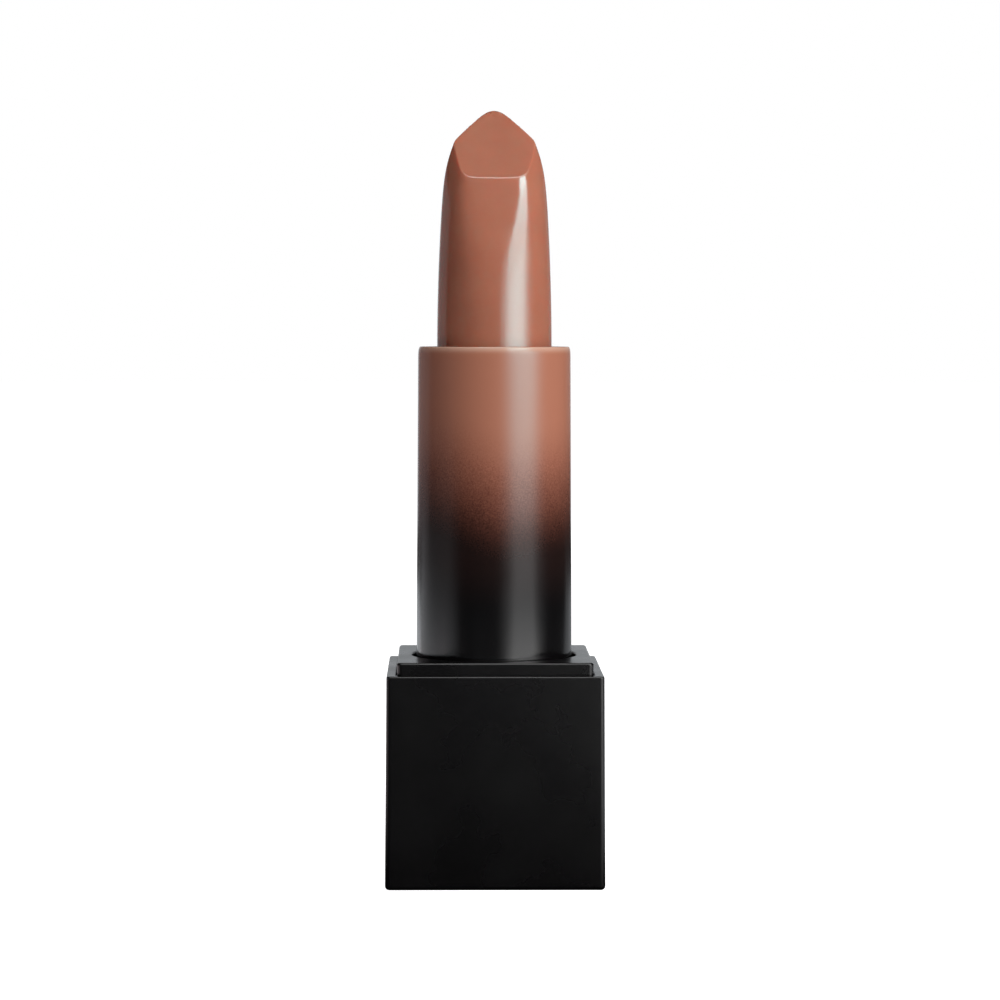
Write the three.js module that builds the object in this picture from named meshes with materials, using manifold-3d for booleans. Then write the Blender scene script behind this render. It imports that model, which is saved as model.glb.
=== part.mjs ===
// Twist-up lipstick case: square base, turning tube, cam mechanism, cup and bullet.
// Units are millimetres, +Z is up. The origin is the centre of the base's underside, the
// front is -Y, and the case stands fully extended.
import * as THREE from 'three';
import { ConvexGeometry } from 'three/addons/geometries/ConvexGeometry.js';
import { mergeVertices } from 'three/addons/utils/BufferGeometryUtils.js';
import Module from 'manifold-3d';

// Overall
const TOTAL_HEIGHT = 81;
const ROUND_SEGMENTS = 64; // shared by every large round piece, so that facets line up
const SMALL_SEGMENTS = 24; // posts, magnets and lugs
const ARC_SEGMENTS = 8; // small half circles and O-ring sections
const CORNER_STEPS = 4; // rounded vertical corners of the square pieces

// Base shell: a slightly drafted square box, open at the top
const BASE_HEIGHT = 22.12;
const BASE_HALF_BOTTOM = 11.38;
const BASE_HALF_TOP = 11.23;
const BASE_CORNER = 0.55;
const BASE_FOOT_CHAMFER = 0.4;
const BASE_RIM_CHAMFER = 0.25;
const CAVITY_HALF = 10.26;
const CAVITY_FLOOR = 2.4;
const LABEL_RECESS_HALF = 7.5;
const LABEL_RECESS_DEPTH = 0.5;

// Collar: the square ring that stands out of the base around the tube
const COLLAR_TOP = 23.42;
const COLLAR_BOTTOM = 16.5;
const COLLAR_HALF = 10.16;
const SKIRT_HALF = 10.0;
const COLLAR_CORNER = 0.5;
const COLLAR_CHAMFER = 0.2;
const COLLAR_BORE = 8.7;
const SNAP_RIB = { length: 7, height: 0.7, reach: 0.35, z: 18.6 };
const SNAP_GAP = 0.3;

// Closure magnets, one in each corner of the collar
const MAGNET_RADIUS = 1.5;
const MAGNET_HEIGHT = 2;
const MAGNET_TOP = 22.1;
const MAGNET_OFFSET = 8.2;
const POCKET_RADIUS = 1.65;
const POCKET_TOP = 22.4;

// Steel weight and the insert that holds the mechanism
const WEIGHT_HALF = 9.2;
const WEIGHT_BOTTOM = 2.7;
const WEIGHT_TOP = 7.0;
const WEIGHT_CORNER = 1.5;
const WEIGHT_HOLE = 2.2;
const FLANGE_HALF = 9.9;
const FLANGE_BOTTOM = 7.3;
const FLANGE_TOP = 8.8;
const FLANGE_HOLE = 3;
const SOCKET_BORE = 7.2;
const SOCKET_RADIUS = 8.9;
const SOCKET_TOP = 15.6;
const POST_RADIUS = 1.35;
const POST_TOP = 19.8;

// Bottom label
const LABEL_HALF = 7.2;
const LABEL_CORNER = 1;
const LABEL_BOTTOM = 0.32;
const LABEL_THICKNESS = 0.12;

// Guide tube: stands in the socket and keeps the cup from turning
const GUIDE_INNER = 6.6;
const GUIDE_OUTER = 7.1;
const GUIDE_BOTTOM = 9.1;
const GUIDE_TOP = 55.0;
const GUIDE_BEAD_RADIUS = 7.6;
const GUIDE_BEAD_HEIGHT = 0.7;
const GUIDE_SLOT_HALF = 0.95;
const KEY_WIDTH = 2;
const KEY_RADIUS = 7.6;
const KEY_TOP = 15.2;
const KEY_GAP = 0.3;

// Cup travel and the cam that drives it
const STROKE = 26.6;
const TURNS = 1.5;
const LUG_Z = 46.6;
const LUG_RADIUS = 0.8;
const LUG_REACH = 7.62;
const CAM_INNER = 7.17;
const CAM_OUTER = 7.7;
const CAM_BOTTOM = 17.4;
const CAM_TOP = 54.0;
const CAM_SLOT_RADIUS = 1.0;
const CAM_SLOT_OVERRUN = THREE.MathUtils.degToRad(10);
const CAM_SLOT_STEPS = 48;
const CAM_SLOT_SIDES = 12; // an even number: three.js splits each half circle evenly

// Brake ring between the guide tube and the turning tube
const BRAKE_Z = 16.9;
const BRAKE_SECTION = 0.27;
const BRAKE_RADIUS = 7.425;

// Outer tube: a thin cone that narrows to a turned-in lip
const TUBE_BOTTOM = 16.0;
const TUBE_RIM = 55.94;
const TUBE_RADIUS_BOTTOM = 8.25;
const TUBE_RADIUS_RIM = 8.04;
const TUBE_INNER = 7.75;
const LIP_RADIUS = 6.75;
const LIP_THICKNESS = 0.6;
const RIM_ROUNDING = 0.22;

// Cup
const CUP_OUTER = 6.5;
const CUP_INNER = 6.1;
const CUP_BOTTOM = 45.1;
const CUP_TOP = 55.1;
const CUP_FLOOR = 1.0;
const CUP_VENT = 2;
const CUP_RIBS = 6;
const CUP_RIB = { width: 0.6, inner: 5.75, top: 54.1 };

// Bullet: round at the mouth, cut ever deeper by five curved flats towards the top, where a
// slanted facet closes it
const BULLET_RADIUS = 6.05;
const BULLET_SHOULDER = 54.5;
const PLUG_RADIUS = 5.65;
const PLUG_BOTTOM = 46.4;
const FACET_ANGLE = THREE.MathUtils.degToRad(42.2);
const FACET_CROSSING = 76.87; // height at which the facet crosses the case's axis
const ROUND_TAPER = { depth: 0.197, curve: 1.81 }; // how the round part narrows
// Flats: `facing` is in degrees from +X, and `start` is the distance at the mouth, in radii.
// `depth` is how far inside the radius the flat ends, and `curve` the power it moves in by.
const FRONT_FLATS = [
  { facing: -90, start: 1.45, depth: 0.74, curve: 0.98 },
  { facing: -35.3, start: 1.45, depth: 0.78, curve: 1.86 },
  { facing: 215.3, start: 1.45, depth: 0.78, curve: 1.86 },
];
const BACK_FLATS = [
  { facing: 30.8, start: 1, depth: 0.49, curve: 2.85 },
  { facing: 149.2, start: 1, depth: 0.49, curve: 2.85 },
];
const FRONT_SHARPNESS = 11.3; // powers that blend the flats; a higher one is sharper
const BACK_SHARPNESS = 28;
const BULLET_LEVELS = 14;
const BULLET_SIDES = 60;

const SNUG = 0.1; // small overlap that makes two joined solids one body

const wasm = await Module();
wasm.setup();

// ---- solids -----------------------------------------------------------------------------

function solidFrom(geometry) {
  const bare = geometry.clone();
  bare.deleteAttribute('normal');
  bare.deleteAttribute('uv');
  const merged = mergeVertices(bare, 1e-5);
  const triVerts = [];
  for (let i = 0; i < merged.index.count; i += 3) {
    const [a, b, c] = [0, 1, 2].map((k) => merged.index.getX(i + k));
    if (a !== b && b !== c && c !== a) triVerts.push(a, b, c);
  }
  return new wasm.Manifold(
    new wasm.Mesh({
      numProp: 3,
      vertProperties: new Float32Array(merged.attributes.position.array),
      triVerts: new Uint32Array(triVerts),
    }),
  );
}

function geometryFrom(solid) {
  const mesh = solid.getMesh();
  const geometry = new THREE.BufferGeometry();
  geometry.setAttribute('position', new THREE.BufferAttribute(mesh.vertProperties, 3));
  geometry.setIndex(new THREE.BufferAttribute(mesh.triVerts, 1));
  geometry.computeVertexNormals();
  return geometry;
}

// Joins `added` to `body`, then cuts `cut` away.
function shaped(body, added, cut) {
  let solid = solidFrom(body);
  for (const geometry of added) solid = solid.add(solidFrom(geometry));
  for (const geometry of cut) solid = solid.subtract(solidFrom(geometry));
  return geometryFrom(solid);
}

// Revolves a closed outline of [radius, z] points about Z.
function revolved(outline) {
  const points = [...outline, outline[0]].map(([r, z]) => new THREE.Vector2(r, z));
  return new THREE.LatheGeometry(points, ROUND_SEGMENTS).rotateX(Math.PI / 2);
}

function ring(inner, outer, bottom, top) {
  return revolved([[inner, bottom], [outer, bottom], [outer, top], [inner, top]]);
}

// A round bar standing along Z.
function bar(radius, bottom, top, segments = ROUND_SEGMENTS) {
  const geometry = new THREE.CylinderGeometry(radius, radius, top - bottom, segments);
  return geometry.rotateX(Math.PI / 2).translate(0, 0, (bottom + top) / 2);
}

// A box from its two corners.
function block([x0, y0, z0], [x1, y1, z1]) {
  const geometry = new THREE.BoxGeometry(x1 - x0, y1 - y0, z1 - z0);
  return geometry.translate((x0 + x1) / 2, (y0 + y1) / 2, (z0 + z1) / 2);
}

function squareLevel({ z, half, corner }) {
  const points = [];
  for (let quarter = 0; quarter < 4; quarter++) {
    for (let i = 0; i <= CORNER_STEPS; i++) {
      const angle = ((quarter + i / CORNER_STEPS) * Math.PI) / 2;
      const middle = ((quarter + 0.5) * Math.PI) / 2;
      const centre = (half - corner) * Math.SQRT2;
      points.push(
        new THREE.Vector3(
          centre * Math.cos(middle) + corner * Math.cos(angle),
          centre * Math.sin(middle) + corner * Math.sin(angle),
          z,
        ),
      );
    }
  }
  return points;
}

// A convex block through rounded squares at rising heights.
function squareBlock(...levels) {
  return new ConvexGeometry(levels.flatMap(squareLevel));
}

function inEachCorner(offset, make) {
  return [[1, 1], [-1, 1], [-1, -1], [1, -1]].map(([x, y]) => make(x * offset, y * offset));
}

// ---- base -------------------------------------------------------------------------------

// Four bars, one along each side wall, at the snap height; `grow` widens them into grooves.
function snapBars(grow) {
  const { length, height, reach, z } = SNAP_RIB;
  const halfLength = length / 2 + grow;
  const low = [-halfLength, SKIRT_HALF - SNUG, z - height / 2 - grow];
  const high = [halfLength, SKIRT_HALF + reach + grow, z + height / 2 + grow];
  return [0, 1, 2, 3].map((side) => block(low, high).rotateZ((side * Math.PI) / 2));
}

function baseShell() {
  const outside = squareBlock(
    { z: 0, half: BASE_HALF_BOTTOM - BASE_FOOT_CHAMFER, corner: BASE_CORNER },
    { z: BASE_FOOT_CHAMFER, half: BASE_HALF_BOTTOM, corner: BASE_CORNER },
    { z: BASE_HEIGHT - BASE_RIM_CHAMFER, half: BASE_HALF_TOP, corner: BASE_CORNER },
    { z: BASE_HEIGHT, half: BASE_HALF_TOP - BASE_RIM_CHAMFER, corner: BASE_CORNER },
  );
  const cavity = squareBlock(
    { z: CAVITY_FLOOR, half: CAVITY_HALF, corner: COLLAR_CORNER },
    { z: BASE_HEIGHT + SNUG, half: CAVITY_HALF, corner: COLLAR_CORNER },
  );
  const recess = squareBlock(
    { z: -SNUG, half: LABEL_RECESS_HALF, corner: LABEL_CORNER },
    { z: LABEL_RECESS_DEPTH, half: LABEL_RECESS_HALF, corner: LABEL_CORNER },
  );
  return shaped(outside, [], [cavity, recess, ...snapBars(SNAP_GAP)]);
}

function baseWeight() {
  const plate = squareBlock(
    { z: WEIGHT_BOTTOM, half: WEIGHT_HALF, corner: WEIGHT_CORNER },
    { z: WEIGHT_TOP, half: WEIGHT_HALF, corner: WEIGHT_CORNER },
  );
  return shaped(plate, [], [bar(WEIGHT_HOLE, WEIGHT_BOTTOM - SNUG, WEIGHT_TOP + SNUG)]);
}

// Two key bars that stand out of the guide tube's foot, at the front and the back.
function keys(width, radius, bottom, top) {
  return [0, Math.PI].map((turn) =>
    block([-width / 2, GUIDE_OUTER - SNUG, bottom], [width / 2, radius, top]).rotateZ(turn),
  );
}

function innerBase() {
  const flange = squareBlock(
    { z: FLANGE_BOTTOM, half: FLANGE_HALF, corner: COLLAR_CORNER },
    { z: FLANGE_TOP, half: FLANGE_HALF, corner: COLLAR_CORNER },
  );
  const socket = ring(SOCKET_BORE, SOCKET_RADIUS, FLANGE_TOP - SNUG, SOCKET_TOP);
  const posts = inEachCorner(MAGNET_OFFSET, (x, y) =>
    bar(POST_RADIUS, FLANGE_TOP - SNUG, POST_TOP, SMALL_SEGMENTS).translate(x, y, 0),
  );
  const vent = bar(FLANGE_HOLE, FLANGE_BOTTOM - SNUG, FLANGE_TOP + SNUG);
  const width = KEY_WIDTH + 2 * KEY_GAP;
  const keyways = keys(width, KEY_RADIUS + KEY_GAP, FLANGE_TOP, SOCKET_TOP + SNUG);
  return shaped(flange, [socket, ...posts], [vent, ...keyways]);
}

function collar() {
  const outside = squareBlock(
    { z: COLLAR_BOTTOM, half: SKIRT_HALF, corner: COLLAR_CORNER },
    { z: BASE_HEIGHT, half: COLLAR_HALF, corner: COLLAR_CORNER },
    { z: COLLAR_TOP - COLLAR_CHAMFER, half: COLLAR_HALF, corner: COLLAR_CORNER },
    { z: COLLAR_TOP, half: COLLAR_HALF - COLLAR_CHAMFER, corner: COLLAR_CORNER },
  );
  const bore = bar(COLLAR_BORE, COLLAR_BOTTOM - SNUG, COLLAR_TOP + SNUG);
  const pockets = inEachCorner(MAGNET_OFFSET, (x, y) =>
    bar(POCKET_RADIUS, COLLAR_BOTTOM - SNUG, POCKET_TOP, SMALL_SEGMENTS).translate(x, y, 0),
  );
  return shaped(outside, snapBars(0), [bore, ...pockets]);
}

function magnet(x, y) {
  const bottom = MAGNET_TOP - MAGNET_HEIGHT;
  return bar(MAGNET_RADIUS, bottom, MAGNET_TOP, SMALL_SEGMENTS).translate(x, y, 0);
}

function shadeLabel() {
  return squareBlock(
    { z: LABEL_BOTTOM, half: LABEL_HALF, corner: LABEL_CORNER },
    { z: LABEL_BOTTOM + LABEL_THICKNESS, half: LABEL_HALF, corner: LABEL_CORNER },
  );
}

// ---- mechanism --------------------------------------------------------------------------

// The lugs' straight way, cut through both walls of the guide tube along X.
function guideSlot() {
  const low = LUG_Z - STROKE;
  const shape = new THREE.Shape();
  shape.absarc(0, LUG_Z, GUIDE_SLOT_HALF, 0, Math.PI);
  shape.absarc(0, low, GUIDE_SLOT_HALF, Math.PI, 2 * Math.PI);
  const depth = 4 * GUIDE_OUTER;
  const slot = new THREE.ExtrudeGeometry(shape, {
    depth,
    bevelEnabled: false,
    curveSegments: ARC_SEGMENTS,
  });
  return slot.translate(0, 0, -depth / 2).rotateX(Math.PI / 2).rotateZ(Math.PI / 2);
}

function guideTube() {
  const beadBottom = GUIDE_TOP - GUIDE_BEAD_HEIGHT;
  const wall = revolved([
    [GUIDE_INNER, GUIDE_BOTTOM],
    [GUIDE_OUTER, GUIDE_BOTTOM],
    [GUIDE_OUTER, beadBottom],
    [GUIDE_BEAD_RADIUS, beadBottom],
    [GUIDE_BEAD_RADIUS, GUIDE_TOP - GUIDE_BEAD_HEIGHT / 2],
    [GUIDE_OUTER, GUIDE_TOP],
    [GUIDE_INNER, GUIDE_TOP],
  ]);
  return shaped(wall, keys(KEY_WIDTH, KEY_RADIUS, GUIDE_BOTTOM, KEY_TOP), [guideSlot()]);
}

// Right-handed helix that the lug follows in the cam sleeve.
class LugPath extends THREE.Curve {
  constructor(start) {
    super();
    this.start = start;
  }

  getPoint(t, target = new THREE.Vector3()) {
    const sweep = 2 * Math.PI * TURNS;
    const turned = THREE.MathUtils.lerp(-sweep - CAM_SLOT_OVERRUN, CAM_SLOT_OVERRUN, t);
    const radius = (CAM_INNER + CAM_OUTER) / 2;
    const angle = this.start + turned;
    const height = LUG_Z + (STROKE * turned) / sweep;
    return target.set(radius * Math.cos(angle), radius * Math.sin(angle), height);
  }
}

function camSlot(start) {
  const section = new THREE.Shape();
  section.absarc(0, 0, CAM_SLOT_RADIUS, 0, 2 * Math.PI);
  return new THREE.ExtrudeGeometry(section, {
    extrudePath: new LugPath(start),
    steps: CAM_SLOT_STEPS,
    curveSegments: CAM_SLOT_SIDES / 2,
  });
}

function camSleeve() {
  const sleeve = ring(CAM_INNER, CAM_OUTER, CAM_BOTTOM, CAM_TOP);
  return shaped(sleeve, [], [camSlot(0), camSlot(Math.PI)]);
}

function brakeRing() {
  const outline = [];
  for (let i = 0; i < ARC_SEGMENTS; i++) {
    const angle = (2 * Math.PI * i) / ARC_SEGMENTS;
    outline.push([
      BRAKE_RADIUS + BRAKE_SECTION * Math.cos(angle),
      BRAKE_Z + BRAKE_SECTION * Math.sin(angle),
    ]);
  }
  return revolved(outline);
}

function outerTube() {
  const lipBottom = TUBE_RIM - LIP_THICKNESS;
  return revolved([
    [TUBE_INNER, TUBE_BOTTOM],
    [TUBE_RADIUS_BOTTOM, TUBE_BOTTOM],
    [TUBE_RADIUS_RIM, TUBE_RIM - RIM_ROUNDING],
    [TUBE_RADIUS_RIM - RIM_ROUNDING, TUBE_RIM],
    [LIP_RADIUS + RIM_ROUNDING, TUBE_RIM],
    [LIP_RADIUS, TUBE_RIM - RIM_ROUNDING],
    [LIP_RADIUS, lipBottom],
    [TUBE_INNER, lipBottom],
  ]);
}

// ---- cup and bullet ---------------------------------------------------------------------

function cup() {
  const floorTop = CUP_BOTTOM + CUP_FLOOR;
  const wall = revolved([
    [CUP_VENT, CUP_BOTTOM],
    [CUP_OUTER, CUP_BOTTOM],
    [CUP_OUTER, CUP_TOP],
    [CUP_INNER, CUP_TOP],
    [CUP_INNER, floorTop],
    [CUP_VENT, floorTop],
  ]);
  const ribs = [];
  for (let i = 0; i < CUP_RIBS; i++) {
    const rib = block(
      [CUP_RIB.inner, -CUP_RIB.width / 2, floorTop - SNUG],
      [CUP_INNER + SNUG, CUP_RIB.width / 2, CUP_RIB.top],
    );
    ribs.push(rib.rotateZ((2 * Math.PI * (i + 0.5)) / CUP_RIBS));
  }
  const lugs = [0, Math.PI].map((turn) =>
    bar(LUG_RADIUS, CUP_INNER + SNUG, LUG_REACH, SMALL_SEGMENTS)
      .rotateY(Math.PI / 2)
      .translate(0, 0, LUG_Z)
      .rotateZ(turn),
  );
  return shaped(wall, [...ribs, ...lugs], []);
}

function powerNorm(power, terms) {
  return terms.reduce((sum, term) => sum + term ** power, 0) ** (1 / power);
}

// Distance from the axis to the bullet's side in the direction `angle`; `rise` is 0 at the
// tube's rim and 1 at the top.
function sectionRadius(angle, rise) {
  const closeness = ({ facing, start, depth, curve }) => {
    const slant = Math.cos(angle - THREE.MathUtils.degToRad(facing));
    return Math.max(slant, 0) / (start - (start - 1 + depth) * rise ** curve);
  };
  const round = 1 / (1 - ROUND_TAPER.depth * rise ** ROUND_TAPER.curve);
  const front = powerNorm(FRONT_SHARPNESS, [round, ...FRONT_FLATS.map(closeness)]);
  return BULLET_RADIUS / powerNorm(BACK_SHARPNESS, [front, ...BACK_FLATS.map(closeness)]);
}

function bulletHead() {
  const points = [];
  for (let level = 0; level <= BULLET_LEVELS; level++) {
    const rise = level / BULLET_LEVELS;
    for (let i = 0; i < BULLET_SIDES; i++) {
      const angle = (2 * Math.PI * i) / BULLET_SIDES + Math.PI / 2;
      const radius = sectionRadius(angle, rise);
      const z = THREE.MathUtils.lerp(TUBE_RIM, TOTAL_HEIGHT, rise);
      points.push(new THREE.Vector3(radius * Math.cos(angle), radius * Math.sin(angle), z));
      if (level === 0) points.push(points.at(-1).clone().setZ(BULLET_SHOULDER));
    }
  }
  return new ConvexGeometry(points);
}

function bullet() {
  const size = 4 * BULLET_RADIUS;
  const facetCut = new THREE.BoxGeometry(size, size, size)
    .translate(0, 0, size / 2)
    .rotateX(FACET_ANGLE)
    .translate(0, 0, FACET_CROSSING);
  const plug = bar(PLUG_RADIUS, PLUG_BOTTOM, BULLET_SHOULDER + SNUG);
  return shaped(bulletHead(), [plug], [facetCut]);
}

// ---- assembly ---------------------------------------------------------------------------

function piece(name, geometry, color, roughness, metalness) {
  const material = new THREE.MeshStandardMaterial({ color, roughness, metalness });
  const mesh = new THREE.Mesh(geometry, material);
  mesh.name = name;
  return mesh;
}

const BLACK_PLASTIC = 0x17161a;
const DARK_PLASTIC = 0x2a2a2d;
const WHITE_PLASTIC = 0xdcdad4;
const STEEL = 0x9a9c9f;
const LABEL_WHITE = 0xf2f0ec;
const RUBBER_BLACK = 0x202020;
const TUBE_BROWN = 0x8a5444;
const SHADE = 0xae735b;

const base = new THREE.Group();
base.add(
  piece('base_shell', baseShell(), BLACK_PLASTIC, 0.45, 0),
  piece('inner_base', innerBase(), DARK_PLASTIC, 0.6, 0),
  piece('base_weight', baseWeight(), STEEL, 0.4, 1),
  piece('collar', collar(), BLACK_PLASTIC, 0.4, 0),
  ...inEachCorner(MAGNET_OFFSET, magnet).map((geometry, i) =>
    piece(`magnet_${i + 1}`, geometry, STEEL, 0.25, 1),
  ),
  piece('shade_label', shadeLabel(), LABEL_WHITE, 0.7, 0),
  piece('guide_tube', guideTube(), WHITE_PLASTIC, 0.45, 0),
  piece('brake_ring', brakeRing(), RUBBER_BLACK, 0.8, 0),
);

const tube = new THREE.Group();
tube.add(
  piece('cam_sleeve', camSleeve(), WHITE_PLASTIC, 0.45, 0),
  piece('outer_tube', outerTube(), TUBE_BROWN, 0.35, 0),
);

const lift = new THREE.Group();
lift.add(
  piece('cup', cup(), WHITE_PLASTIC, 0.45, 0),
  piece('bullet', bullet(), SHADE, 0.45, 0),
);

const lipstick = new THREE.Group();
lipstick.add(base, tube, lift);

export default lipstick;
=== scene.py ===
"""Looks of the lipstick case: fine surfaces, materials, studio and camera.

Sizes are in millimetres until a mesh is made; the studio's distances are in metres.
The frame is the CAD's, with +Z up and the front towards -Y.
"""

import math

import bmesh
import bpy
import numpy as np
from mathutils import Matrix, Vector


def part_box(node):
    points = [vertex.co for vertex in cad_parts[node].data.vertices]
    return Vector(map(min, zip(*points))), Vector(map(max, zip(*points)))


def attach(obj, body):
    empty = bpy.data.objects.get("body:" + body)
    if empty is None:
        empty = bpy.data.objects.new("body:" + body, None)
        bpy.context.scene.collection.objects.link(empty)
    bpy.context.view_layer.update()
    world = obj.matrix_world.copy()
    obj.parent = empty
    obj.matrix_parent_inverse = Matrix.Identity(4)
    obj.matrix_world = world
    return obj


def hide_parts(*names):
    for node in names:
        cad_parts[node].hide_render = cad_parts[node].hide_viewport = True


MM = 0.001  # metres in a millimetre

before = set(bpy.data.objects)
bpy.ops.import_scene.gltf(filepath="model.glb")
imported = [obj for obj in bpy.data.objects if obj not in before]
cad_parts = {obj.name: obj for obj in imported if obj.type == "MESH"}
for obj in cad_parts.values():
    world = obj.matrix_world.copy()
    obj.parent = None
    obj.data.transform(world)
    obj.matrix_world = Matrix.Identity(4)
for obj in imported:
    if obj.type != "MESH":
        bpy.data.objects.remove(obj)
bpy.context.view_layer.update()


def span(node):
    """Lowest and highest corner of a CAD node, in millimetres."""
    low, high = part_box(node)
    return low / MM, high / MM


# ---- sizes ------------------------------------------------------------------------------

SHELL_LOW, SHELL_HIGH = span("base_shell")
COLLAR_LOW, COLLAR_HIGH = span("collar")
TUBE_LOW, TUBE_HIGH = span("outer_tube")
CUP_LOW, CUP_HIGH = span("cup")
BULLET_LOW, BULLET_HIGH = span("bullet")
LABEL_LOW, LABEL_HIGH = span("shade_label")
BRAKE_LOW, BRAKE_HIGH = span("brake_ring")

BASE_DRAFT = 0.15  # how much each side leans in from the foot to the shoulder
BASE_CORNER = 0.55
CAVITY_HALF = 10.26
CAVITY_FLOOR = 2.4
CAVITY_FILLET = 0.3
RECESS_HALF = 7.5
RECESS_DEPTH = 0.5
RECESS_CORNER = 1.0

COLLAR_HALF = 10.16
SKIRT_HALF = 10.0
COLLAR_CORNER = 0.5
COLLAR_BORE = 8.7
MAGNETS = ("magnet_1", "magnet_2", "magnet_3", "magnet_4")
MAGNET_OFFSET = 8.2
POCKET_RADIUS = 1.65
POCKET_TOP = 22.4

TUBE_RIM_RADIUS = 8.04
TUBE_INNER = 7.75
LIP_RADIUS = 6.75
LIP_THICKNESS = 0.6
# corners of the rolled mouth: inset from the rim's radius, depth below the rim, and fillet
MOUTH_ROLL = [(0, 0.9, 8), (0.035, 0.35, 1.4), (0.16, 0, 0.16)]

CUP_OUTER = 6.5
CUP_INNER = 6.1
CUP_FLOOR = 1.0
CUP_VENT = 2.0
CUP_RIBS = 6
CUP_RIB_INNER = 5.75
CUP_RIB_WIDTH = 0.6
CUP_RIB_END = 1  # depth below the cup's rim
CUP_RIB_SLANT = 0.8
CUP_OVERLAP = 0.1  # how far the ribs and lugs reach into the cup's wall or floor
LUG_RADIUS = 0.8
LUG_RISE = 1.5  # lug's axis above the cup's underside

BULLET_RADIUS = 6.05
BULLET_SHOULDER = 54.5
BODY_START = 1  # depth below the tube's mouth where the bullet's shaped surface starts
SHOULDER_INSET = 0.05  # how much slimmer the bullet is moulded below the tube's mouth
PLUG_RADIUS = 5.65
ROUND_TAPER = (0.197, 1.81)  # share of the radius lost at the top, and the power it grows by
# flats: direction in degrees from +X, distance at the mouth in radii, how far inside the
# radius they end, and the power they move in by
FRONT_FLATS = [(-90, 1.45, 0.74, 0.98), (-35.3, 1.45, 0.78, 1.86), (215.3, 1.45, 0.78, 1.86)]
BACK_FLATS = [(30.8, 1.0, 0.49, 2.85), (149.2, 1.0, 0.49, 2.85)]
RISE_LIMIT = 1.1  # of the bullet's bare height, where the flats stop moving in
FACET_ANGLE = math.radians(42.2)
FACET_CROSSING = 76.87  # height where the facet's plane crosses the axis
TIP_HEIGHT = 81.085  # top of the arch that rounds the tip
TIP_ROUNDING = 0.5  # how far the arch's top lies under the corner of its two slopes
TIP_SLOPE = 0.7  # fall of those slopes to each side
FRONT_SHARPNESS = 11.3  # powers that blend the faces; a higher one is sharper
BACK_SHARPNESS = 28
FACET_SHARPNESS = 220
TIP_SHARPNESS = 60

ROUND_SEGMENTS = 192
ROD_SEGMENTS = 48
ROD_EDGE = 0.05
SECTION_SEGMENTS = 24  # round the brake ring's section
ARC_STEPS = 6
CORNER_STEPS = 8
SIDE_STEPS = 32
BULLET_SEGMENTS = 320
BODY_RINGS = 60
HEAD_RINGS = 200
HALVINGS = 30  # steps of the search for the bullet's surface along a ray
HEART = 68.0  # height of the point on the axis that the head's rays leave from

MERGE_DISTANCE = 1e-7  # metres
WELD_DISTANCE = 1e-6
SHARP_ANGLE = math.radians(35)
BEVEL_ANGLE = math.radians(40)
FLAT_ANGLE = math.radians(1)
FULL_WEIGHT = 100

# ---- finishes ---------------------------------------------------------------------------

TUBE_FADE = (33.2, 48.2)  # heights between which the brown lacquer comes in
TUBE_HAZE = (28.0, 35.0)  # heights between which its last spray thins out
TUBE_GLOSS = (22.0, 32.0)  # heights between which the gloss dulls
RIM_HIGHLIGHT_DEPTH = 0.8  # depth below the rim from which the lacquer is painted paler, a painted highlight on the rolled mouth
TUBE_SHEEN = (0.38, 0.9, 0.97, 1)  # tint of the highlights on the brown lacquer
TUBE_BROWN = (0.385, 0.152, 0.096, 1)
# painted highlight: the pale colour the lacquer is given on the rolled mouth
TUBE_RIM_HIGHLIGHT = (0.56, 0.36, 0.27, 1)
TUBE_RUST = (0.37, 0.112, 0.07, 1)
TUBE_BLACK = (0.003, 0.0027, 0.003, 1)
TUBE_DUSK = (0.024, 0.0105, 0.0085, 1)
WAX_DEEP = (0.385, 0.145, 0.091, 1)
WAX_LIGHT = (0.415, 0.16, 0.1, 1)
WAX_PALE = (0.47, 0.215, 0.145, 1)
WAX_SHEEN = (0.55, 0.98, 1, 1)  # tint of the highlights on the wax
WAX_GLOW = 0.7  # share of the light that goes into the wax
WAX_GLOW_COLOURS = (1.0, 0.2, 0.16)  # how far red, green and blue light gets, as shares
WAX_GLOW_REACH = 3.5  # of this many millimetres

# ---- studio and camera ------------------------------------------------------------------

WHITE = (1.0, 1.0, 1.0)
COOL = (0.92, 0.96, 1.0)
ROSE = (1.0, 0.86, 0.9)
# the key light's layers: azimuths of its edges, and what each layer adds to its middle
KEY_LAYERS = [(8, 82, 0.4), (13, 74, 0.9), (20, 67, 1.7), (27, 61, 1.6), (35, 53, 0.7)]
KEY_DISTANCE = 0.4
KEY_STEP = 0.002  # between layers: of lights in one plane, a reflection shows only one
OVERHEAD_AIM = (0, 0, 0.05)
TABLE_CLEARANCE = 0.001
ROOM_LIGHT = 0.01
FLOOR_RADIUS = 3.0
FLOOR_DROP = 0.02  # millimetres, which keeps the floor clear of the foot

# the camera's place is in millimetres, and its turns are in degrees
CAMERA_LENS = 123.91
CAMERA_PLACE = (-5.33, -363.4, 58.51)
CAMERA_YAW = 0.937
CAMERA_PITCH = -2.958
CAMERA_ROLL = 0.075

# ---- mesh helpers -----------------------------------------------------------------------


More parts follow.
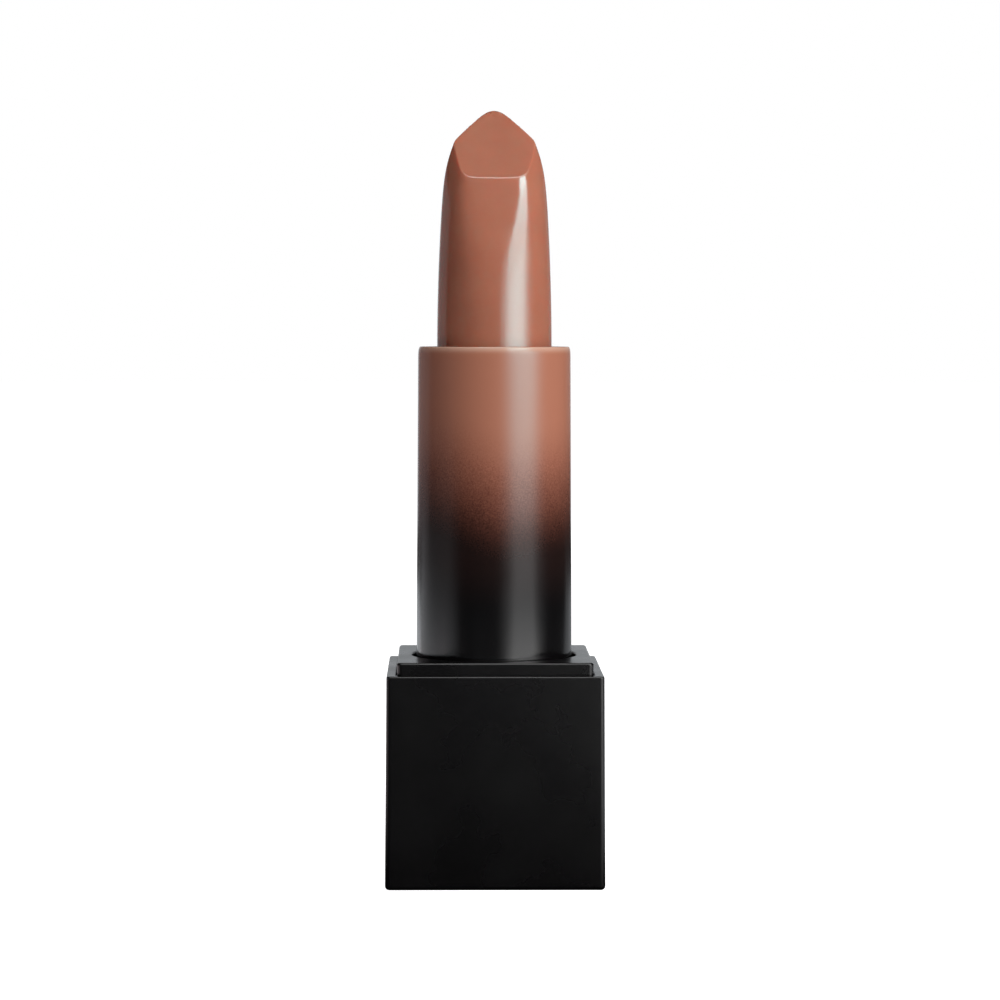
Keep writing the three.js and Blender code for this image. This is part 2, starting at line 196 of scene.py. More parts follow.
def rounded(corners):
    """An outline of [offset, z, fillet] corners, with each fillet drawn as an arc."""
    points = []
    for i, (x, z, fillet) in enumerate(corners):
        here = np.array((x, z), float)
        if not fillet:
            points.append(here)
            continue
        before = np.array(corners[i - 1][:2], float) - here
        after = np.array(corners[(i + 1) % len(corners)][:2], float) - here
        before /= np.linalg.norm(before)
        after /= np.linalg.norm(after)
        half = math.acos(np.clip(before @ after, -1, 1)) / 2
        middle = (before + after) / np.linalg.norm(before + after)
        centre = here + middle * fillet / math.sin(half)
        start = here + before * fillet / math.tan(half) - centre
        end = here + after * fillet / math.tan(half) - centre
        first = math.atan2(start[1], start[0])
        turn = (math.atan2(end[1], end[0]) - first + math.pi) % (2 * math.pi) - math.pi
        for step in range(ARC_STEPS + 1):
            angle = first + turn * step / ARC_STEPS
            points.append(centre + fillet * np.array((math.cos(angle), math.sin(angle))))
    return points


def square_ring(half, corner, z):
    """Points round a square with rounded corners; every ring has the same count."""
    points = []
    for quarter in range(4):
        turn = quarter * math.pi / 2
        for step in range(CORNER_STEPS + 1):
            angle = step / CORNER_STEPS * math.pi / 2
            x = half - corner + corner * math.cos(angle)
            y = half - corner + corner * math.sin(angle)
            points.append((x, y, turn))
        for step in range(1, SIDE_STEPS):
            x = (half - corner) * (1 - 2 * step / SIDE_STEPS)
            points.append((x, half, turn))
    ring = [
        (x * math.cos(t) - y * math.sin(t), x * math.sin(t) + y * math.cos(t), z)
        for x, y, t in points
    ]
    return np.array(ring)


def round_ring(radius, z):
    """A circle whose points stand at the same angles as a square ring's."""
    square = square_ring(COLLAR_HALF, COLLAR_CORNER, z)
    flat = square[:, :2] / np.linalg.norm(square[:, :2], axis=1)[:, None] * radius
    return np.column_stack((flat, square[:, 2]))


def circle(segments):
    """Angles of evenly spaced points on a full turn."""
    return np.linspace(0, 2 * math.pi, segments, endpoint=False)


def ring_at(angles, radius, z):
    """Points at these angles; the radius and the height may differ from point to point."""
    return np.column_stack((radius * np.cos(angles), radius * np.sin(angles), np.full_like(angles, z)))


def turned_ring(radius, z):
    """A level circle round the axis."""
    return ring_at(circle(ROUND_SEGMENTS), radius, z)


def loft(rings, closed=False):
    """Skins the rings in order; an open loft gets a flat cap at each end."""
    count = len(rings[0])
    faces = []
    for k in range(len(rings) if closed else len(rings) - 1):
        low, high = k * count, (k + 1) % len(rings) * count
        for i in range(count):
            j = (i + 1) % count
            faces.append((low + i, low + j, high + j, high + i))
    if not closed:
        faces.append(tuple(range(count)))
        last = (len(rings) - 1) * count
        faces.append(tuple(range(last, last + count)))
    return np.concatenate(rings), faces


def make(name, skin):
    """A smooth object from (points in millimetres, faces)."""
    points, faces = skin
    mesh = bpy.data.meshes.new(name)
    mesh.from_pydata((points * MM).tolist(), [], faces)
    solid = bmesh.new()
    solid.from_mesh(mesh)
    bmesh.ops.remove_doubles(solid, verts=solid.verts, dist=MERGE_DISTANCE)
    bmesh.ops.recalc_face_normals(solid, faces=solid.faces)
    solid.to_mesh(mesh)
    solid.free()
    mesh.polygons.foreach_set("use_smooth", [True] * len(mesh.polygons))
    piece = bpy.data.objects.new(name, mesh)
    bpy.context.scene.collection.objects.link(piece)
    return piece


def combine(body, others, operation):
    """Joins or cuts `others` into `body`, then removes them."""
    for other in others:
        step = body.modifiers.new("combine", "BOOLEAN")
        step.object = other
        step.operation = operation
        step.solver = "EXACT"
    shape = body.evaluated_get(bpy.context.evaluated_depsgraph_get())
    mesh = bpy.data.meshes.new_from_object(shape)
    body.modifiers.clear()
    body.data = mesh
    mesh.polygons.foreach_set("use_smooth", [True] * len(mesh.polygons))
    for other in others:
        bpy.data.objects.remove(other)


def even_normals(piece):
    """Keeps flat faces flat next to their rounded edges."""
    piece.data.set_sharp_from_angle(angle=SHARP_ANGLE)
    step = piece.modifiers.new("normals", "WEIGHTED_NORMAL")
    step.keep_sharp = True
    step.weight = FULL_WEIGHT


def rod(radius, low, high):
    """A round bar along Z, with slightly broken ends."""
    corners = ((ROD_EDGE, low), (0, low + ROD_EDGE), (0, high - ROD_EDGE), (ROD_EDGE, high))
    angles = circle(ROD_SEGMENTS)
    return make("rod", loft([ring_at(angles, radius - inset, z) for inset, z in corners]))


# ---- material helpers -------------------------------------------------------------------


class Recipe:
    """A material under construction."""

    def __init__(self, name, **settings):
        self.material = bpy.data.materials.new(name)
        self.material.use_nodes = True
        self.tree = self.material.node_tree
        self.shader = self.tree.nodes["Principled BSDF"]
        for socket, value in settings.items():
            self.shader.inputs[socket.replace("_", " ")].default_value = value
        self.place = self.tree.nodes.new("ShaderNodeTexCoord").outputs["Object"]

    def node(self, kind, inputs=None, **settings):
        made = self.tree.nodes.new(kind)
        for key, value in settings.items():
            setattr(made, key, value)
        for key, value in (inputs or {}).items():
            if isinstance(value, bpy.types.NodeSocket):
                self.tree.links.new(value, made.inputs[key])
            else:
                made.inputs[key].default_value = value
        return made

    def noise(self, size, detail=2.0, stretch=(1, 1, 1), roughness=0.5):
        """Noise whose lumps are about `size` millimetres across."""
        place = self.node("ShaderNodeVectorMath", {0: self.place, 1: stretch}, operation="MULTIPLY")
        inputs = {
            "Vector": place.outputs[0],
            "Scale": 1 / (size * MM),
            "Detail": detail,
            "Roughness": roughness,
        }
        return self.node("ShaderNodeTexNoise", inputs).outputs["Fac"]

    def remap(self, value, low, high, to_low=0.0, to_high=1.0, smooth=False):
        """Stretches low...high to the new range and clamps what lies outside it."""
        inputs = {"Value": value, 1: low, 2: high, 3: to_low, 4: to_high}
        kind = "SMOOTHSTEP" if smooth else "LINEAR"
        return self.node("ShaderNodeMapRange", inputs, interpolation_type=kind).outputs["Result"]

    def math(self, operation, a, b=0.0):
        return self.node("ShaderNodeMath", {0: a, 1: b}, operation=operation).outputs[0]

    def mix(self, share, a, b):
        """A colour between `a` at share 0 and `b` at share 1."""
        made = self.node("ShaderNodeMix", data_type="RGBA")
        for index, value in ((0, share), (6, a), (7, b)):
            if isinstance(value, bpy.types.NodeSocket):
                self.tree.links.new(value, made.inputs[index])
            else:
                made.inputs[index].default_value = value
        return made.outputs[2]

    def along(self, axis):
        """Position along an axis, in metres from the case's origin."""
        return self.node("ShaderNodeSeparateXYZ", {0: self.place}).outputs[axis]

    def bump(self, *layers):
        """Stacks (height value, depth in millimetres) layers."""
        normal = None
        for value, depth in layers:
            inputs = {"Height": value, "Distance": depth * MM, "Strength": 1.0}
            if normal:
                inputs["Normal"] = normal
            normal = self.node("ShaderNodeBump", inputs).outputs["Normal"]
        self.feed("Normal", normal)

    def feed(self, socket, value):
        """Links a value to one of the shader's sockets."""
        self.tree.links.new(value, self.shader.inputs[socket])


def grey(value):
    """An opaque grey."""
    return (value, value, value, 1.0)


# ---- materials --------------------------------------------------------------------------


def soft_black():
    """Satin black moulded plastic with a fine texture and faint handling marks."""
    recipe = Recipe("soft_black", IOR=1.54)
    smudge = recipe.noise(7, detail=3)
    grain = recipe.noise(0.09, detail=2)
    tone = recipe.mix(smudge, (0.0012, 0.001, 0.0013, 1), (0.0021, 0.0019, 0.0023, 1))
    scuffs = recipe.remap(recipe.noise(0.35, detail=4), 0.66, 0.74)
    dust = recipe.math("MULTIPLY", scuffs, 0.05)
    recipe.feed("Base Color", recipe.mix(dust, tone, (0.05, 0.048, 0.05, 1)))
    recipe.feed("Roughness", recipe.remap(smudge, 0.3, 0.7, 0.25, 0.31))
    recipe.bump((grain, 0.004), (recipe.noise(2.2), 0.006))
    return recipe.material


def tube_lacquer():
    """Brown lacquer sprayed over black: solid at the mouth, fading out down the tube, with a painted
    highlight on the rolled mouth and painted shade at the sides of the fade.
    """
    recipe = Recipe("tube_lacquer", IOR=1.6)
    low, high = TUBE_FADE
    # painted shade: the fade is made to start higher at the sides, more so on the left, so the sides of
    # the fade come out darker
    left = recipe.remap(recipe.along("X"), -6 * MM, 1.5 * MM, -2.3 * MM, 0, smooth=True)
    right = recipe.remap(recipe.along("X"), 2 * MM, 7 * MM, 0, -0.9 * MM, smooth=True)
    height = recipe.along("Z")
    level = recipe.math("ADD", height, recipe.math("ADD", left, right))
    rise = recipe.remap(level, low * MM, high * MM, smooth=True)
    spray = recipe.noise(0.16, detail=3, roughness=0.6)
    drift = recipe.noise(4, detail=2)
    # the speckle is strongest halfway down the fade
    unsure = recipe.math("MULTIPLY", rise, recipe.math("SUBTRACT", 1.0, rise))
    speckle = recipe.math("MULTIPLY", recipe.remap(spray, 0.3, 0.7, -0.6, 0.6), unsure)
    blotch = recipe.math("MULTIPLY", recipe.remap(drift, 0.3, 0.7, -0.12, 0.12), unsure)
    cover = recipe.remap(recipe.math("ADD", rise, recipe.math("ADD", speckle, blotch)), 0, 1)
    haze = recipe.remap(height, TUBE_HAZE[0] * MM, TUBE_HAZE[1] * MM, smooth=True)
    ground = recipe.mix(recipe.math("MULTIPLY", haze, spray), TUBE_BLACK, TUBE_DUSK)
    pigment = recipe.mix(cover, TUBE_RUST, TUBE_BROWN)
    # painted highlight: the lacquer is made paler over the rolled mouth, where its rounding catches the
    # light
    rim = TUBE_HIGH.z
    mouth = recipe.remap(height, (rim - RIM_HIGHLIGHT_DEPTH) * MM, rim * MM, 0, 0.7, smooth=True)
    pigment = recipe.mix(mouth, pigment, TUBE_RIM_HIGHLIGHT)
    recipe.feed("Base Color", recipe.mix(cover, ground, pigment))
    # the spray dulls the gloss, which is clearest near the collar
    dulled = recipe.remap(height, TUBE_GLOSS[0] * MM, TUBE_GLOSS[1] * MM, smooth=True)
    gloss = recipe.mix(dulled, grey(1.0), grey(0.6))
    recipe.feed("Specular Tint", recipe.mix(cover, gloss, TUBE_SHEEN))
    matt = recipe.remap(dulled, 0, 1, 0.16, 0.19)
    matt = recipe.math("ADD", matt, recipe.remap(cover, 0, 1, 0, 0.04))
    uneven = recipe.remap(drift, 0.3, 0.7, -0.015, 0.015)
    recipe.feed("Roughness", recipe.math("ADD", matt, uneven))
    recipe.bump((recipe.noise(0.6), 0.0006), (recipe.noise(6), 0.004))
    return recipe.material


def bullet_wax():
    """Smooth moulded wax: satin, faintly mottled, with some light inside."""
    recipe = Recipe(
        "bullet_wax",
        IOR=1.84,
        Specular_Tint=WAX_SHEEN,
        Subsurface_Weight=WAX_GLOW,
        Subsurface_Radius=WAX_GLOW_COLOURS,
        Subsurface_Scale=WAX_GLOW_REACH * MM,
    )
    clouds = recipe.noise(3.5, detail=4)
    fine = recipe.noise(0.25, detail=3)
    tone = recipe.mix(recipe.remap(clouds, 0.3, 0.7), WAX_DEEP, WAX_LIGHT)
    recipe.feed("Base Color", recipe.mix(recipe.remap(fine, 0.6, 0.8, 0, 0.15), tone, WAX_PALE))
    recipe.feed("Roughness", recipe.remap(clouds, 0.3, 0.7, 0.15, 0.18))
    recipe.bump((fine, 0.0025), (recipe.noise(2.4, stretch=(1, 1, 0.4)), 0.01))
    return recipe.material


def moulded_white():
    """Natural white polyacetal, slightly waxy."""
    recipe = Recipe("moulded_white", Subsurface_Weight=0.1, Subsurface_Scale=0.5 * MM)
    tone = recipe.mix(recipe.noise(3), (0.66, 0.64, 0.58, 1), (0.74, 0.72, 0.67, 1))
    recipe.feed("Base Color", tone)
    recipe.feed("Roughness", recipe.remap(recipe.noise(1.5, detail=3), 0.3, 0.7, 0.34, 0.48))
    recipe.bump((recipe.noise(0.12, detail=2), 0.003))
    return recipe.material


def dark_plastic():
    """Plain dark moulded plastic of the hidden insert, with a coarse matt grain."""
    recipe = Recipe("dark_plastic")
    grain = recipe.noise(0.2, detail=3)
    recipe.feed("Base Color", recipe.mix(grain, (0.018, 0.018, 0.02, 1), (0.034, 0.034, 0.036, 1)))
    recipe.feed("Roughness", recipe.remap(recipe.noise(3), 0.3, 0.7, 0.48, 0.62))
    recipe.bump((grain, 0.01))
    return recipe.material


def plated_steel():
    """Zinc-plated pressed steel with fine rolling lines along X."""
    recipe = Recipe("plated_steel", Metallic=1.0)
    lines = recipe.noise(0.12, detail=4, stretch=(0.03, 1, 1))
    bloom = recipe.noise(2.2, detail=3)
    recipe.feed("Base Color", recipe.mix(bloom, (0.42, 0.43, 0.45, 1), (0.6, 0.6, 0.59, 1)))
    recipe.feed("Roughness", recipe.remap(lines, 0.3, 0.7, 0.28, 0.45))
    recipe.bump((lines, 0.006))
    return recipe.material


def nickel():
    """Bright nickel plating with faint warm stains."""
    recipe = Recipe("nickel", Metallic=1.0)
    stain = recipe.noise(0.8, detail=3)
    recipe.feed("Base Color", recipe.mix(stain, (0.55, 0.52, 0.47, 1), (0.68, 0.65, 0.6, 1)))
    recipe.feed("Roughness", recipe.remap(stain, 0.3, 0.7, 0.14, 0.26))
    recipe.bump((recipe.noise(0.15, detail=2), 0.002))
    return recipe.material


def brake_rubber():
    """Dull black rubber with a fine grain."""
    recipe = Recipe("brake_rubber")
    grain = recipe.noise(0.1, detail=3)
    recipe.feed("Base Color", recipe.mix(grain, (0.012, 0.012, 0.012, 1), (0.026, 0.026, 0.025, 1)))
    recipe.feed("Roughness", recipe.remap(recipe.noise(0.7), 0.3, 0.7, 0.62, 0.8))
    recipe.bump((grain, 0.006))
    return recipe.material


def label_paper():
    """Blank white label stock with short fibres."""
    recipe = Recipe("label_paper")
    fibres = recipe.noise(0.25, detail=5, stretch=(1, 0.4, 1), roughness=0.7)
    recipe.feed("Base Color", recipe.mix(fibres, (0.74, 0.73, 0.7, 1), (0.86, 0.85, 0.83, 1)))
    recipe.feed("Roughness", recipe.remap(fibres, 0.3, 0.7, 0.6, 0.8))
    recipe.bump((fibres, 0.008))
    return recipe.material


# ---- pieces -----------------------------------------------------------------------------


def base_shell():
    """Square shell: label recess, foot, leaning sides, shoulder, and the cavity inside."""
    foot, top = SHELL_HIGH.x, SHELL_HIGH.z
    shoulder = foot - BASE_DRAFT
    recess = rounded([
        (0, RECESS_DEPTH, 0),
        (RECESS_HALF, RECESS_DEPTH, 0.12),
        (RECESS_HALF, 0, 0.12),
        (foot, 0, 0),
    ])[1:-1]
    outside = rounded([(0, 0, 0), (foot, 0, 0.42), (shoulder, top, 0.2), (0, top, 0)])[1:-1]
    inside = rounded([
        (foot, top, 0),
        (CAVITY_HALF, top, 0.1),
        (CAVITY_HALF, CAVITY_FLOOR, CAVITY_FILLET),
        (0, CAVITY_FLOOR, 0),
    ])[1:-1]
    rings = [square_ring(h, RECESS_CORNER, z) for h, z in recess]
    rings += [square_ring(h, BASE_CORNER + h - foot, z) for h, z in outside]
    rings += [square_ring(h, COLLAR_CORNER + max(h - CAVITY_HALF, -CAVITY_FILLET), z) for h, z in inside]
    piece = make("base_shell_body", loft(rings))
    even_normals(piece)
    return piece


def collar():
    """Square outside, round bore, and a blind pocket for the magnet in each corner."""
    low, top = COLLAR_LOW.z, COLLAR_HIGH.z
    outside = rounded([
        (0, low, 0),
        (SKIRT_HALF, low, 0.2),
        (COLLAR_HALF, top, 0.26),
        (0, top, 0),
    ])[1:-1]
    bore = rounded([
        (COLLAR_HALF, top, 0),
        (COLLAR_BORE, top, 0.22),
        (COLLAR_BORE, low, 0.15),
        (COLLAR_HALF, low, 0),
    ])[1:-1]
    rings = [square_ring(h, COLLAR_CORNER + h - COLLAR_HALF, z) for h, z in outside]
    rings += [round_ring(r, z) for r, z in bore]
    piece = make("collar_body", loft(rings, closed=True))
    pockets = []
    for x in (-MAGNET_OFFSET, MAGNET_OFFSET):
        for y in (-MAGNET_OFFSET, MAGNET_OFFSET):
            # it starts below the skirt, for a clean cut
            pocket = rod(POCKET_RADIUS, low - 1, POCKET_TOP)
            pocket.location = (x * MM, y * MM, 0)
            pockets.append(pocket)
    combine(piece, pockets, "DIFFERENCE")
    even_normals(piece)
    return piece


def outer_tube():
    """Thin cone with a rolled mouth that turns in to the lip."""
    low, rim = TUBE_LOW.z, TUBE_HIGH.z
    outline = rounded([
        (TUBE_INNER, low, 0.1),
        (TUBE_HIGH.x, low, 0.12),
        *[(TUBE_RIM_RADIUS - inset, rim - depth, fillet) for inset, depth, fillet in MOUTH_ROLL],
        (LIP_RADIUS, rim, 0.28),
        (LIP_RADIUS, rim - LIP_THICKNESS, 0.1),
        (TUBE_INNER, rim - LIP_THICKNESS, 0.1),
    ])
    piece = make("outer_tube_body", loft([turned_ring(r, z) for r, z in outline], closed=True))
    even_normals(piece)
    return piece


def cup():
    """Thin cup with a vented floor, gripping ribs inside and a lug on each side."""
    low, top = CUP_LOW.z, CUP_HIGH.z
    outline = rounded([
        (CUP_VENT, low, 0.15),
        (CUP_OUTER, low, 0.4),
        (CUP_OUTER, top, 0.12),
        (CUP_INNER, top, 0.12),
        (CUP_INNER, low + CUP_FLOOR, 0.25),
        (CUP_VENT, low + CUP_FLOOR, 0.15),
    ])
    piece = make("cup_body", loft([turned_ring(r, z) for r, z in outline], closed=True))
    added = []
    for side in (0, math.pi):
        lug = rod(LUG_RADIUS, CUP_INNER + CUP_OVERLAP, CUP_HIGH.x)
        raised = Matrix.Translation((0, 0, (low + LUG_RISE) * MM))
        turned = Matrix.Rotation(side, 4, "Z") @ Matrix.Rotation(math.pi / 2, 4, "Y")
        lug.matrix_world = raised @ turned
        added.append(lug)
    for i in range(CUP_RIBS):
        added.append(cup_rib(2 * math.pi * (i + 0.5) / CUP_RIBS))
    combine(piece, added, "UNION")
    even_normals(piece)
    return piece


def cup_rib(angle):
    """One gripping rib, slanted at the top so that the bullet slides in."""
    low, top = CUP_LOW.z + CUP_FLOOR - CUP_OVERLAP, CUP_HIGH.z - CUP_RIB_END
    outline = [
        (CUP_INNER + CUP_OVERLAP, low),
        (CUP_RIB_INNER, low),
        (CUP_RIB_INNER, top - CUP_RIB_SLANT),
        (CUP_INNER + CUP_OVERLAP, top),
    ]
    half = CUP_RIB_WIDTH / 2
    points = np.array([(x, y, z) for y in (-half, half) for x, z in outline])
    faces = [(0, 1, 2, 3), (7, 6, 5, 4)]
    faces += [(i, (i + 1) % 4, (i + 1) % 4 + 4, i + 4) for i in range(4)]
    rib = make("rib", (points, faces))
    rib.rotation_euler.z = angle
    return rib


def power_norm(power, terms):
    """Nearly the largest term; the lower the power, the more the others add to it."""
    return sum(term**power for term in terms) ** (1 / power)


def bullet_depth(angles, radius, z):
    """How far out a point stands: 1 on the bullet's surface, its faces blended together."""
    rise = np.clip((z - TUBE_HIGH.z) / (BULLET_HIGH.z - TUBE_HIGH.z), 0, RISE_LIMIT)
    reach = radius / BULLET_RADIUS

    def closeness(facing, start, depth, curve):
        """1 on a flat that moves in from `start` radii to `depth` inside the radius."""
        slant = np.maximum(np.cos(angles - math.radians(facing)), 0)
        return reach * slant / (start - (start - 1 + depth) * rise**curve)

    round_part = reach / (1 - ROUND_TAPER[0] * rise ** ROUND_TAPER[1])
    front = power_norm(FRONT_SHARPNESS, [round_part] + [closeness(*flat) for flat in FRONT_FLATS])
    sides = power_norm(BACK_SHARPNESS, [front] + [closeness(*flat) for flat in BACK_FLATS])
    up = (z - HEART) * math.cos(FACET_ANGLE) - radius * np.sin(angles) * math.sin(FACET_ANGLE)
    facet = np.maximum(up, 0) / ((FACET_CROSSING - HEART) * math.cos(FACET_ANGLE))
    drop = np.hypot(TIP_ROUNDING, TIP_SLOPE * radius * np.cos(angles)) - TIP_ROUNDING
    tip = np.where(z > HEART, z - HEART + drop, 0) / (TIP_HEIGHT - HEART)
    return power_norm(TIP_SHARPNESS, [power_norm(FACET_SHARPNESS, [sides, facet]), tip])


def bullet_ring(angles, tilt, height):
    """Where rays from the axis at `height`, tilted up by `tilt`, leave the bullet."""
    inner, outer = np.zeros(len(angles)), np.full(len(angles), 3 * BULLET_RADIUS)
    for _ in range(HALVINGS):
        reach = (inner + outer) / 2
        z = height + reach * math.sin(tilt)
        outside = bullet_depth(angles, reach * math.cos(tilt), z) > 1
        outer = np.where(outside, reach, outer)
        inner = np.where(outside, inner, reach)
    return ring_at(angles, inner * math.cos(tilt), height + inner * math.sin(tilt))


def bullet():
    """Moulded bullet: a plug in the cup, a round mouth, five growing flats and the facet."""
    angles = circle(BULLET_SEGMENTS)
    plug = rounded([
        (0, BULLET_LOW.z, 0),
        (PLUG_RADIUS, BULLET_LOW.z, 0.3),
        (PLUG_RADIUS, BULLET_SHOULDER, 0.1),
        (BULLET_RADIUS - SHOULDER_INSET, BULLET_SHOULDER, 0.1),
        (BULLET_RADIUS - SHOULDER_INSET, BULLET_HIGH.z, 0),
    ])[1:-1]
    rings = [ring_at(angles, radius, z) for radius, z in plug]
    for z in np.linspace(TUBE_HIGH.z - BODY_START, HEART, BODY_RINGS, endpoint=False):
        rings.append(bullet_ring(angles, 0, z))
    for tilt in np.linspace(0, math.pi / 2, HEAD_RINGS, endpoint=False):
        rings.append(bullet_ring(angles, tilt, HEART))
    return make("bullet_body", loft(rings))


def brake_ring():
    """Rubber ring with a round section."""
    section = (BRAKE_HIGH.z - BRAKE_LOW.z) / 2
    middle = BRAKE_HIGH.x - section
    height = BRAKE_LOW.z + section
    rings = []
    for turn in circle(SECTION_SEGMENTS):
        rings.append(turned_ring(middle + section * math.cos(turn), height + section * math.sin(turn)))
    return make("brake_ring_body", loft(rings, closed=True))


def shade_label():
    """Thin card label with rounded corners and soft edges."""
    low, high, half = LABEL_LOW.z, LABEL_HIGH.z, LABEL_HIGH.x
    edge = rounded([(0, low, 0), (half, low, 0.03), (half, high, 0.03), (0, high, 0)])[1:-1]
    rings = [square_ring(h, RECESS_CORNER + h - half, z) for h, z in edge]
    piece = make("shade_label_body", loft(rings))
    even_normals(piece)
    return piece


def magnet(name):
    """Plated disc with broken edges."""
    low, high = span(name)
    piece = rod((high.x - low.x) / 2, low.z, high.z)
    middle = ((low.x + high.x) / 2 * MM, (low.y + high.y) / 2 * MM, 0)
    piece.data.transform(Matrix.Translation(middle))
    piece.name = name + "_body"
    even_normals(piece)
    return piece


def finish_node(node, material, edge=0):
    """Evens out a CAD node that stays shown, breaks its edges if asked, and paints it."""
    weld = node.modifiers.new("weld", "WELD")
    weld.merge_threshold = WELD_DISTANCE
    planar = node.modifiers.new("planar", "DECIMATE")
    planar.decimate_type = "DISSOLVE"
    planar.angle_limit = FLAT_ANGLE
    if edge:
        bevel = node.modifiers.new("bevel", "BEVEL")
        bevel.width = edge * MM
        bevel.segments = 3
        bevel.limit_method = "ANGLE"
        bevel.angle_limit = BEVEL_ANGLE
        bevel.use_clamp_overlap = False
        normals = node.modifiers.new("normals", "WEIGHTED_NORMAL")
        normals.weight = FULL_WEIGHT
    else:
        split = node.modifiers.new("split", "EDGE_SPLIT")
        split.split_angle = SHARP_ANGLE
    node.data.polygons.foreach_set("use_smooth", [True] * len(node.data.polygons))
    paint(node, material)


def paint(piece, material):
    """Gives a piece its one material."""
    piece.data.materials.clear()
    piece.data.materials.append(material)


def place(piece, body, node, slot, material):
    """Paints a piece and puts it on its body in its CAD node's place."""
    paint(piece, material)
    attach(piece, body)
    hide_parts(node)


black = soft_black()
white = moulded_white()
metal = nickel()

place(base_shell(), "base", "base_shell", "soft_touch_black", black)
place(collar(), "base", "collar", "soft_touch_black", black)
place(outer_tube(), "tube", "outer_tube", "tube_lacquer", tube_lacquer())
place(cup(), "lift", "cup", "mechanism_plastic", white)
place(bullet(), "lift", "bullet", "bullet_wax", bullet_wax())

place(brake_ring(), "base", "brake_ring", "brake_rubber", brake_rubber())
place(shade_label(), "base", "shade_label", "label_paper", label_paper())
for name in MAGNETS:
    place(magnet(name), "base", name, "magnet_plating", metal)

finish_node(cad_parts["inner_base"], dark_plastic(), edge=0.08)
finish_node(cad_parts["base_weight"], plated_steel(), edge=0.08)
finish_node(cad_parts["guide_tube"], white, edge=0.03)
finish_node(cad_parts["cam_sleeve"], white)

# ---- studio -----------------------------------------------------------------------------


def floor():
    """Pale round floor that the black plastic doesn't mirror."""
    disc = bmesh.new()
    bmesh.ops.create_circle(disc, cap_ends=True, radius=FLOOR_RADIUS, segments=96)
    mesh = bpy.data.meshes.new("floor")
    disc.to_mesh(mesh)
    disc.free()
    obj = bpy.data.objects.new("floor", mesh)
    bpy.context.scene.collection.objects.link(obj)
    material = bpy.data.materials.new("floor_white")
    material.use_nodes = True
    shader = material.node_tree.nodes["Principled BSDF"]
    shader.inputs["Base Color"].default_value = grey(0.8)
    shader.inputs["Roughness"].default_value = 0.9
    shader.inputs["Specular IOR Level"].default_value = 0.0
    shader.inputs["Emission Color"].default_value = grey(1.0)
    shader.inputs["Emission Strength"].default_value = 1.0
    mesh.materials.append(material)
    obj.location.z = -FLOOR_DROP * MM
    obj.visible_glossy = False
    obj.visible_diffuse = False


def area_light(name, place, aim, size, radiance, tint):
    """A light that the camera doesn't see, at `place` and facing `aim`, both in metres."""
    data = bpy.data.lights.new(name, "AREA")
    data.shape = "RECTANGLE"
    data.size, data.size_y = size
    data.energy = radiance * math.pi * size[0] * size[1]
    data.color = tint
    lamp = bpy.data.objects.new(name, data)
    lamp.location = place
    lamp.rotation_euler = (Vector(aim) - Vector(place)).to_track_quat("-Z", "Y").to_euler()
    lamp.visible_camera = False
    bpy.context.scene.collection.objects.link(lamp)


def around(azimuth, distance, height):
    """A point around the case; azimuth 0 is the front and 90 the right."""
    turn = math.radians(azimuth)
    return distance * math.sin(turn), -distance * math.cos(turn), height


def softbox(name, left, right, distance, low, high, radiance, tint=WHITE):
    """An upright panel between two azimuths and two heights."""
    middle, height = (left + right) / 2, (low + high) / 2
    width = 2 * distance * math.tan(math.radians(right - left) / 2)
    place = around(middle, distance, height)
    area_light(name, place, (0, 0, height), (width, high - low), radiance, tint)


def overhead(name, azimuth, distance, height, size, radiance, tint=WHITE):
    """A square panel above the case, facing it."""
    area_light(name, around(azimuth, distance, height), OVERHEAD_AIM, (size, size), radiance, tint)


def bounce(name, azimuth, near, far, width, radiance, tint=WHITE):
    """Light coming back from a lit patch of the table."""
    middle = (near + far) / 2
    # aimed up, and a hair towards the case, which settles which way its width lies
    aim = around(azimuth, middle - 0.001, 1.0)
    area_light(name, around(azimuth, middle, TABLE_CLEARANCE), aim, (width, far - near), radiance, tint)


def studio_world():
    """White for the camera, dim for the light that reaches the case, and plain colours."""
    world = bpy.data.worlds.new("studio")
    world.use_nodes = True
    tree = world.node_tree
    background = tree.nodes["Background"]
    path = tree.nodes.new("ShaderNodeLightPath")
    mix = tree.nodes.new("ShaderNodeMix")
    mix.data_type = "RGBA"
    tree.links.new(path.outputs["Is Camera Ray"], mix.inputs[0])
    mix.inputs[6].default_value = grey(ROOM_LIGHT)
    mix.inputs[7].default_value = grey(1.0)
    tree.links.new(mix.outputs[2], background.inputs["Color"])
    bpy.context.scene.world = world
    bpy.context.scene.view_settings.view_transform = "Standard"


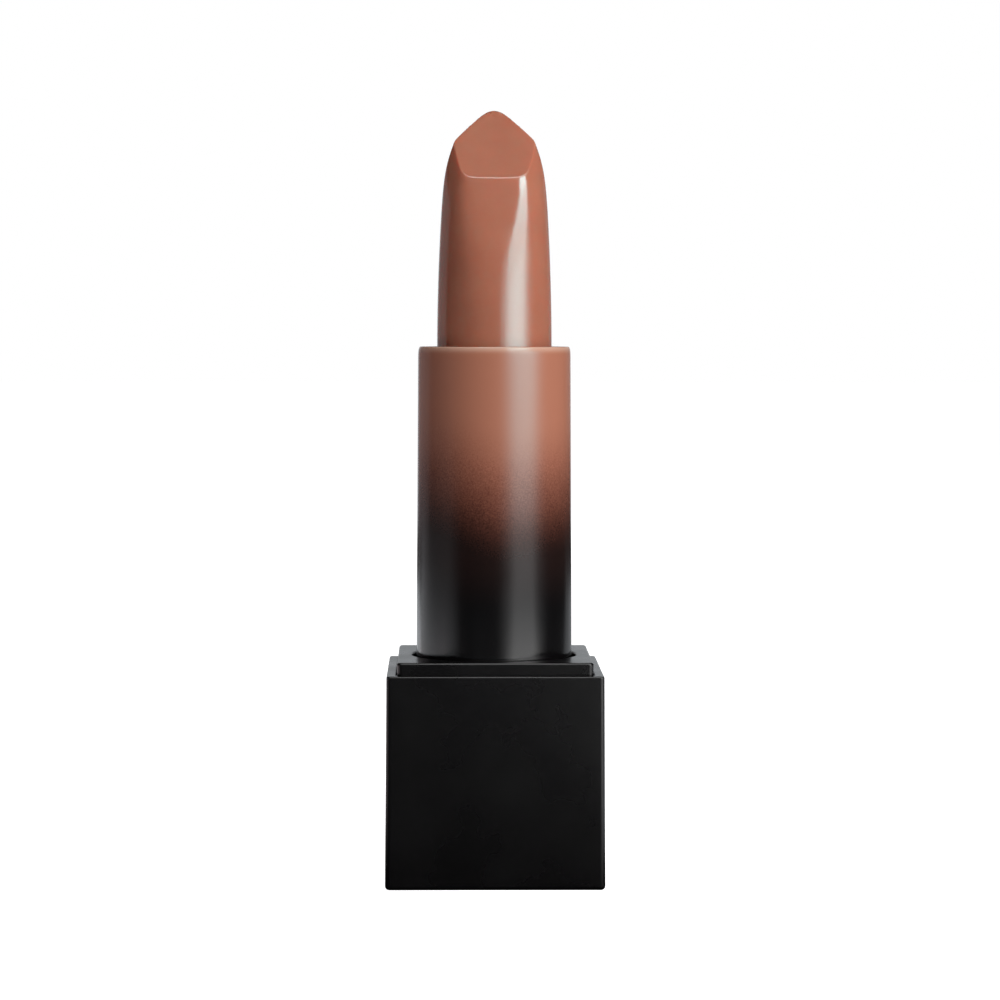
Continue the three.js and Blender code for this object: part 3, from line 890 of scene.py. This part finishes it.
def camera():
    """Long lens from the front, a little above the tube's mouth and looking slightly down."""
    data = bpy.data.cameras.new("camera")
    data.lens = CAMERA_LENS
    data.sensor_width = 36
    data.clip_start = 0.01
    data.clip_end = 10
    obj = bpy.data.objects.new("camera", data)
    obj.rotation_mode = "QUATERNION"
    yaw = Matrix.Rotation(-math.radians(CAMERA_YAW), 4, "Z")
    pitch = Matrix.Rotation(math.radians(90 + CAMERA_PITCH), 4, "X")
    roll = Matrix.Rotation(math.radians(CAMERA_ROLL), 4, "Z")
    obj.rotation_quaternion = (yaw @ pitch @ roll).to_quaternion()
    obj.location = Vector(CAMERA_PLACE) * MM
    bpy.context.scene.collection.objects.link(obj)
    bpy.context.scene.camera = obj


floor()
studio_world()
for i, (left, right, radiance) in enumerate(KEY_LAYERS):
    distance = KEY_DISTANCE + KEY_STEP * i
    softbox(f"key_{i}", left, right, distance, low=0.03, high=0.13, radiance=radiance)
softbox("key_upper", 20, 60, KEY_DISTANCE, low=0.13, high=0.2, radiance=3.3)
softbox("key_upper_soft", 12, 70, KEY_DISTANCE + KEY_STEP, low=0.13, high=0.2, radiance=0.9)
softbox("key_top", 20, 56, KEY_DISTANCE, low=0.2, high=0.3, radiance=5.0)
softbox("key_high", 22, 62, KEY_DISTANCE, low=0.3, high=0.42, radiance=9.0)
softbox("back", 162, 200, distance=0.6, low=0.0, high=0.25, radiance=0.72, tint=COOL)
softbox("left_back", -160, -115, distance=0.6, low=0.0, high=0.2, radiance=0.24, tint=ROSE)
softbox("right_back", 138, 164, distance=0.6, low=0.03, high=0.25, radiance=0.2, tint=COOL)
overhead("front", 0, distance=0.19, height=0.48, size=0.36, radiance=2.5)
overhead("rim", 50, distance=0.2, height=0.5, size=0.2, radiance=2.7)
bounce("table_left", -101, near=0.2, far=0.4, width=0.48, radiance=0.9, tint=COOL)
bounce("table_front_left", -45, near=0.2, far=0.4, width=0.25, radiance=0.1, tint=COOL)
bounce("table_near_left", -110, near=0.05, far=0.2, width=0.25, radiance=1.15, tint=ROSE)
bounce("table_right", 150, near=0.04, far=0.4, width=0.22, radiance=0.36, tint=COOL)
bounce("table_back_left", -162, near=0.2, far=0.4, width=0.2, radiance=0.85, tint=COOL)
bounce("table_near_right", 95, near=0.03, far=0.14, width=0.12, radiance=0.8, tint=COOL)
bounce("table_key", 44, near=0.12, far=0.4, width=0.2, radiance=2.5)
bounce("table_front", 5, near=0.18, far=0.42, width=0.3, radiance=0.12, tint=COOL)
camera()
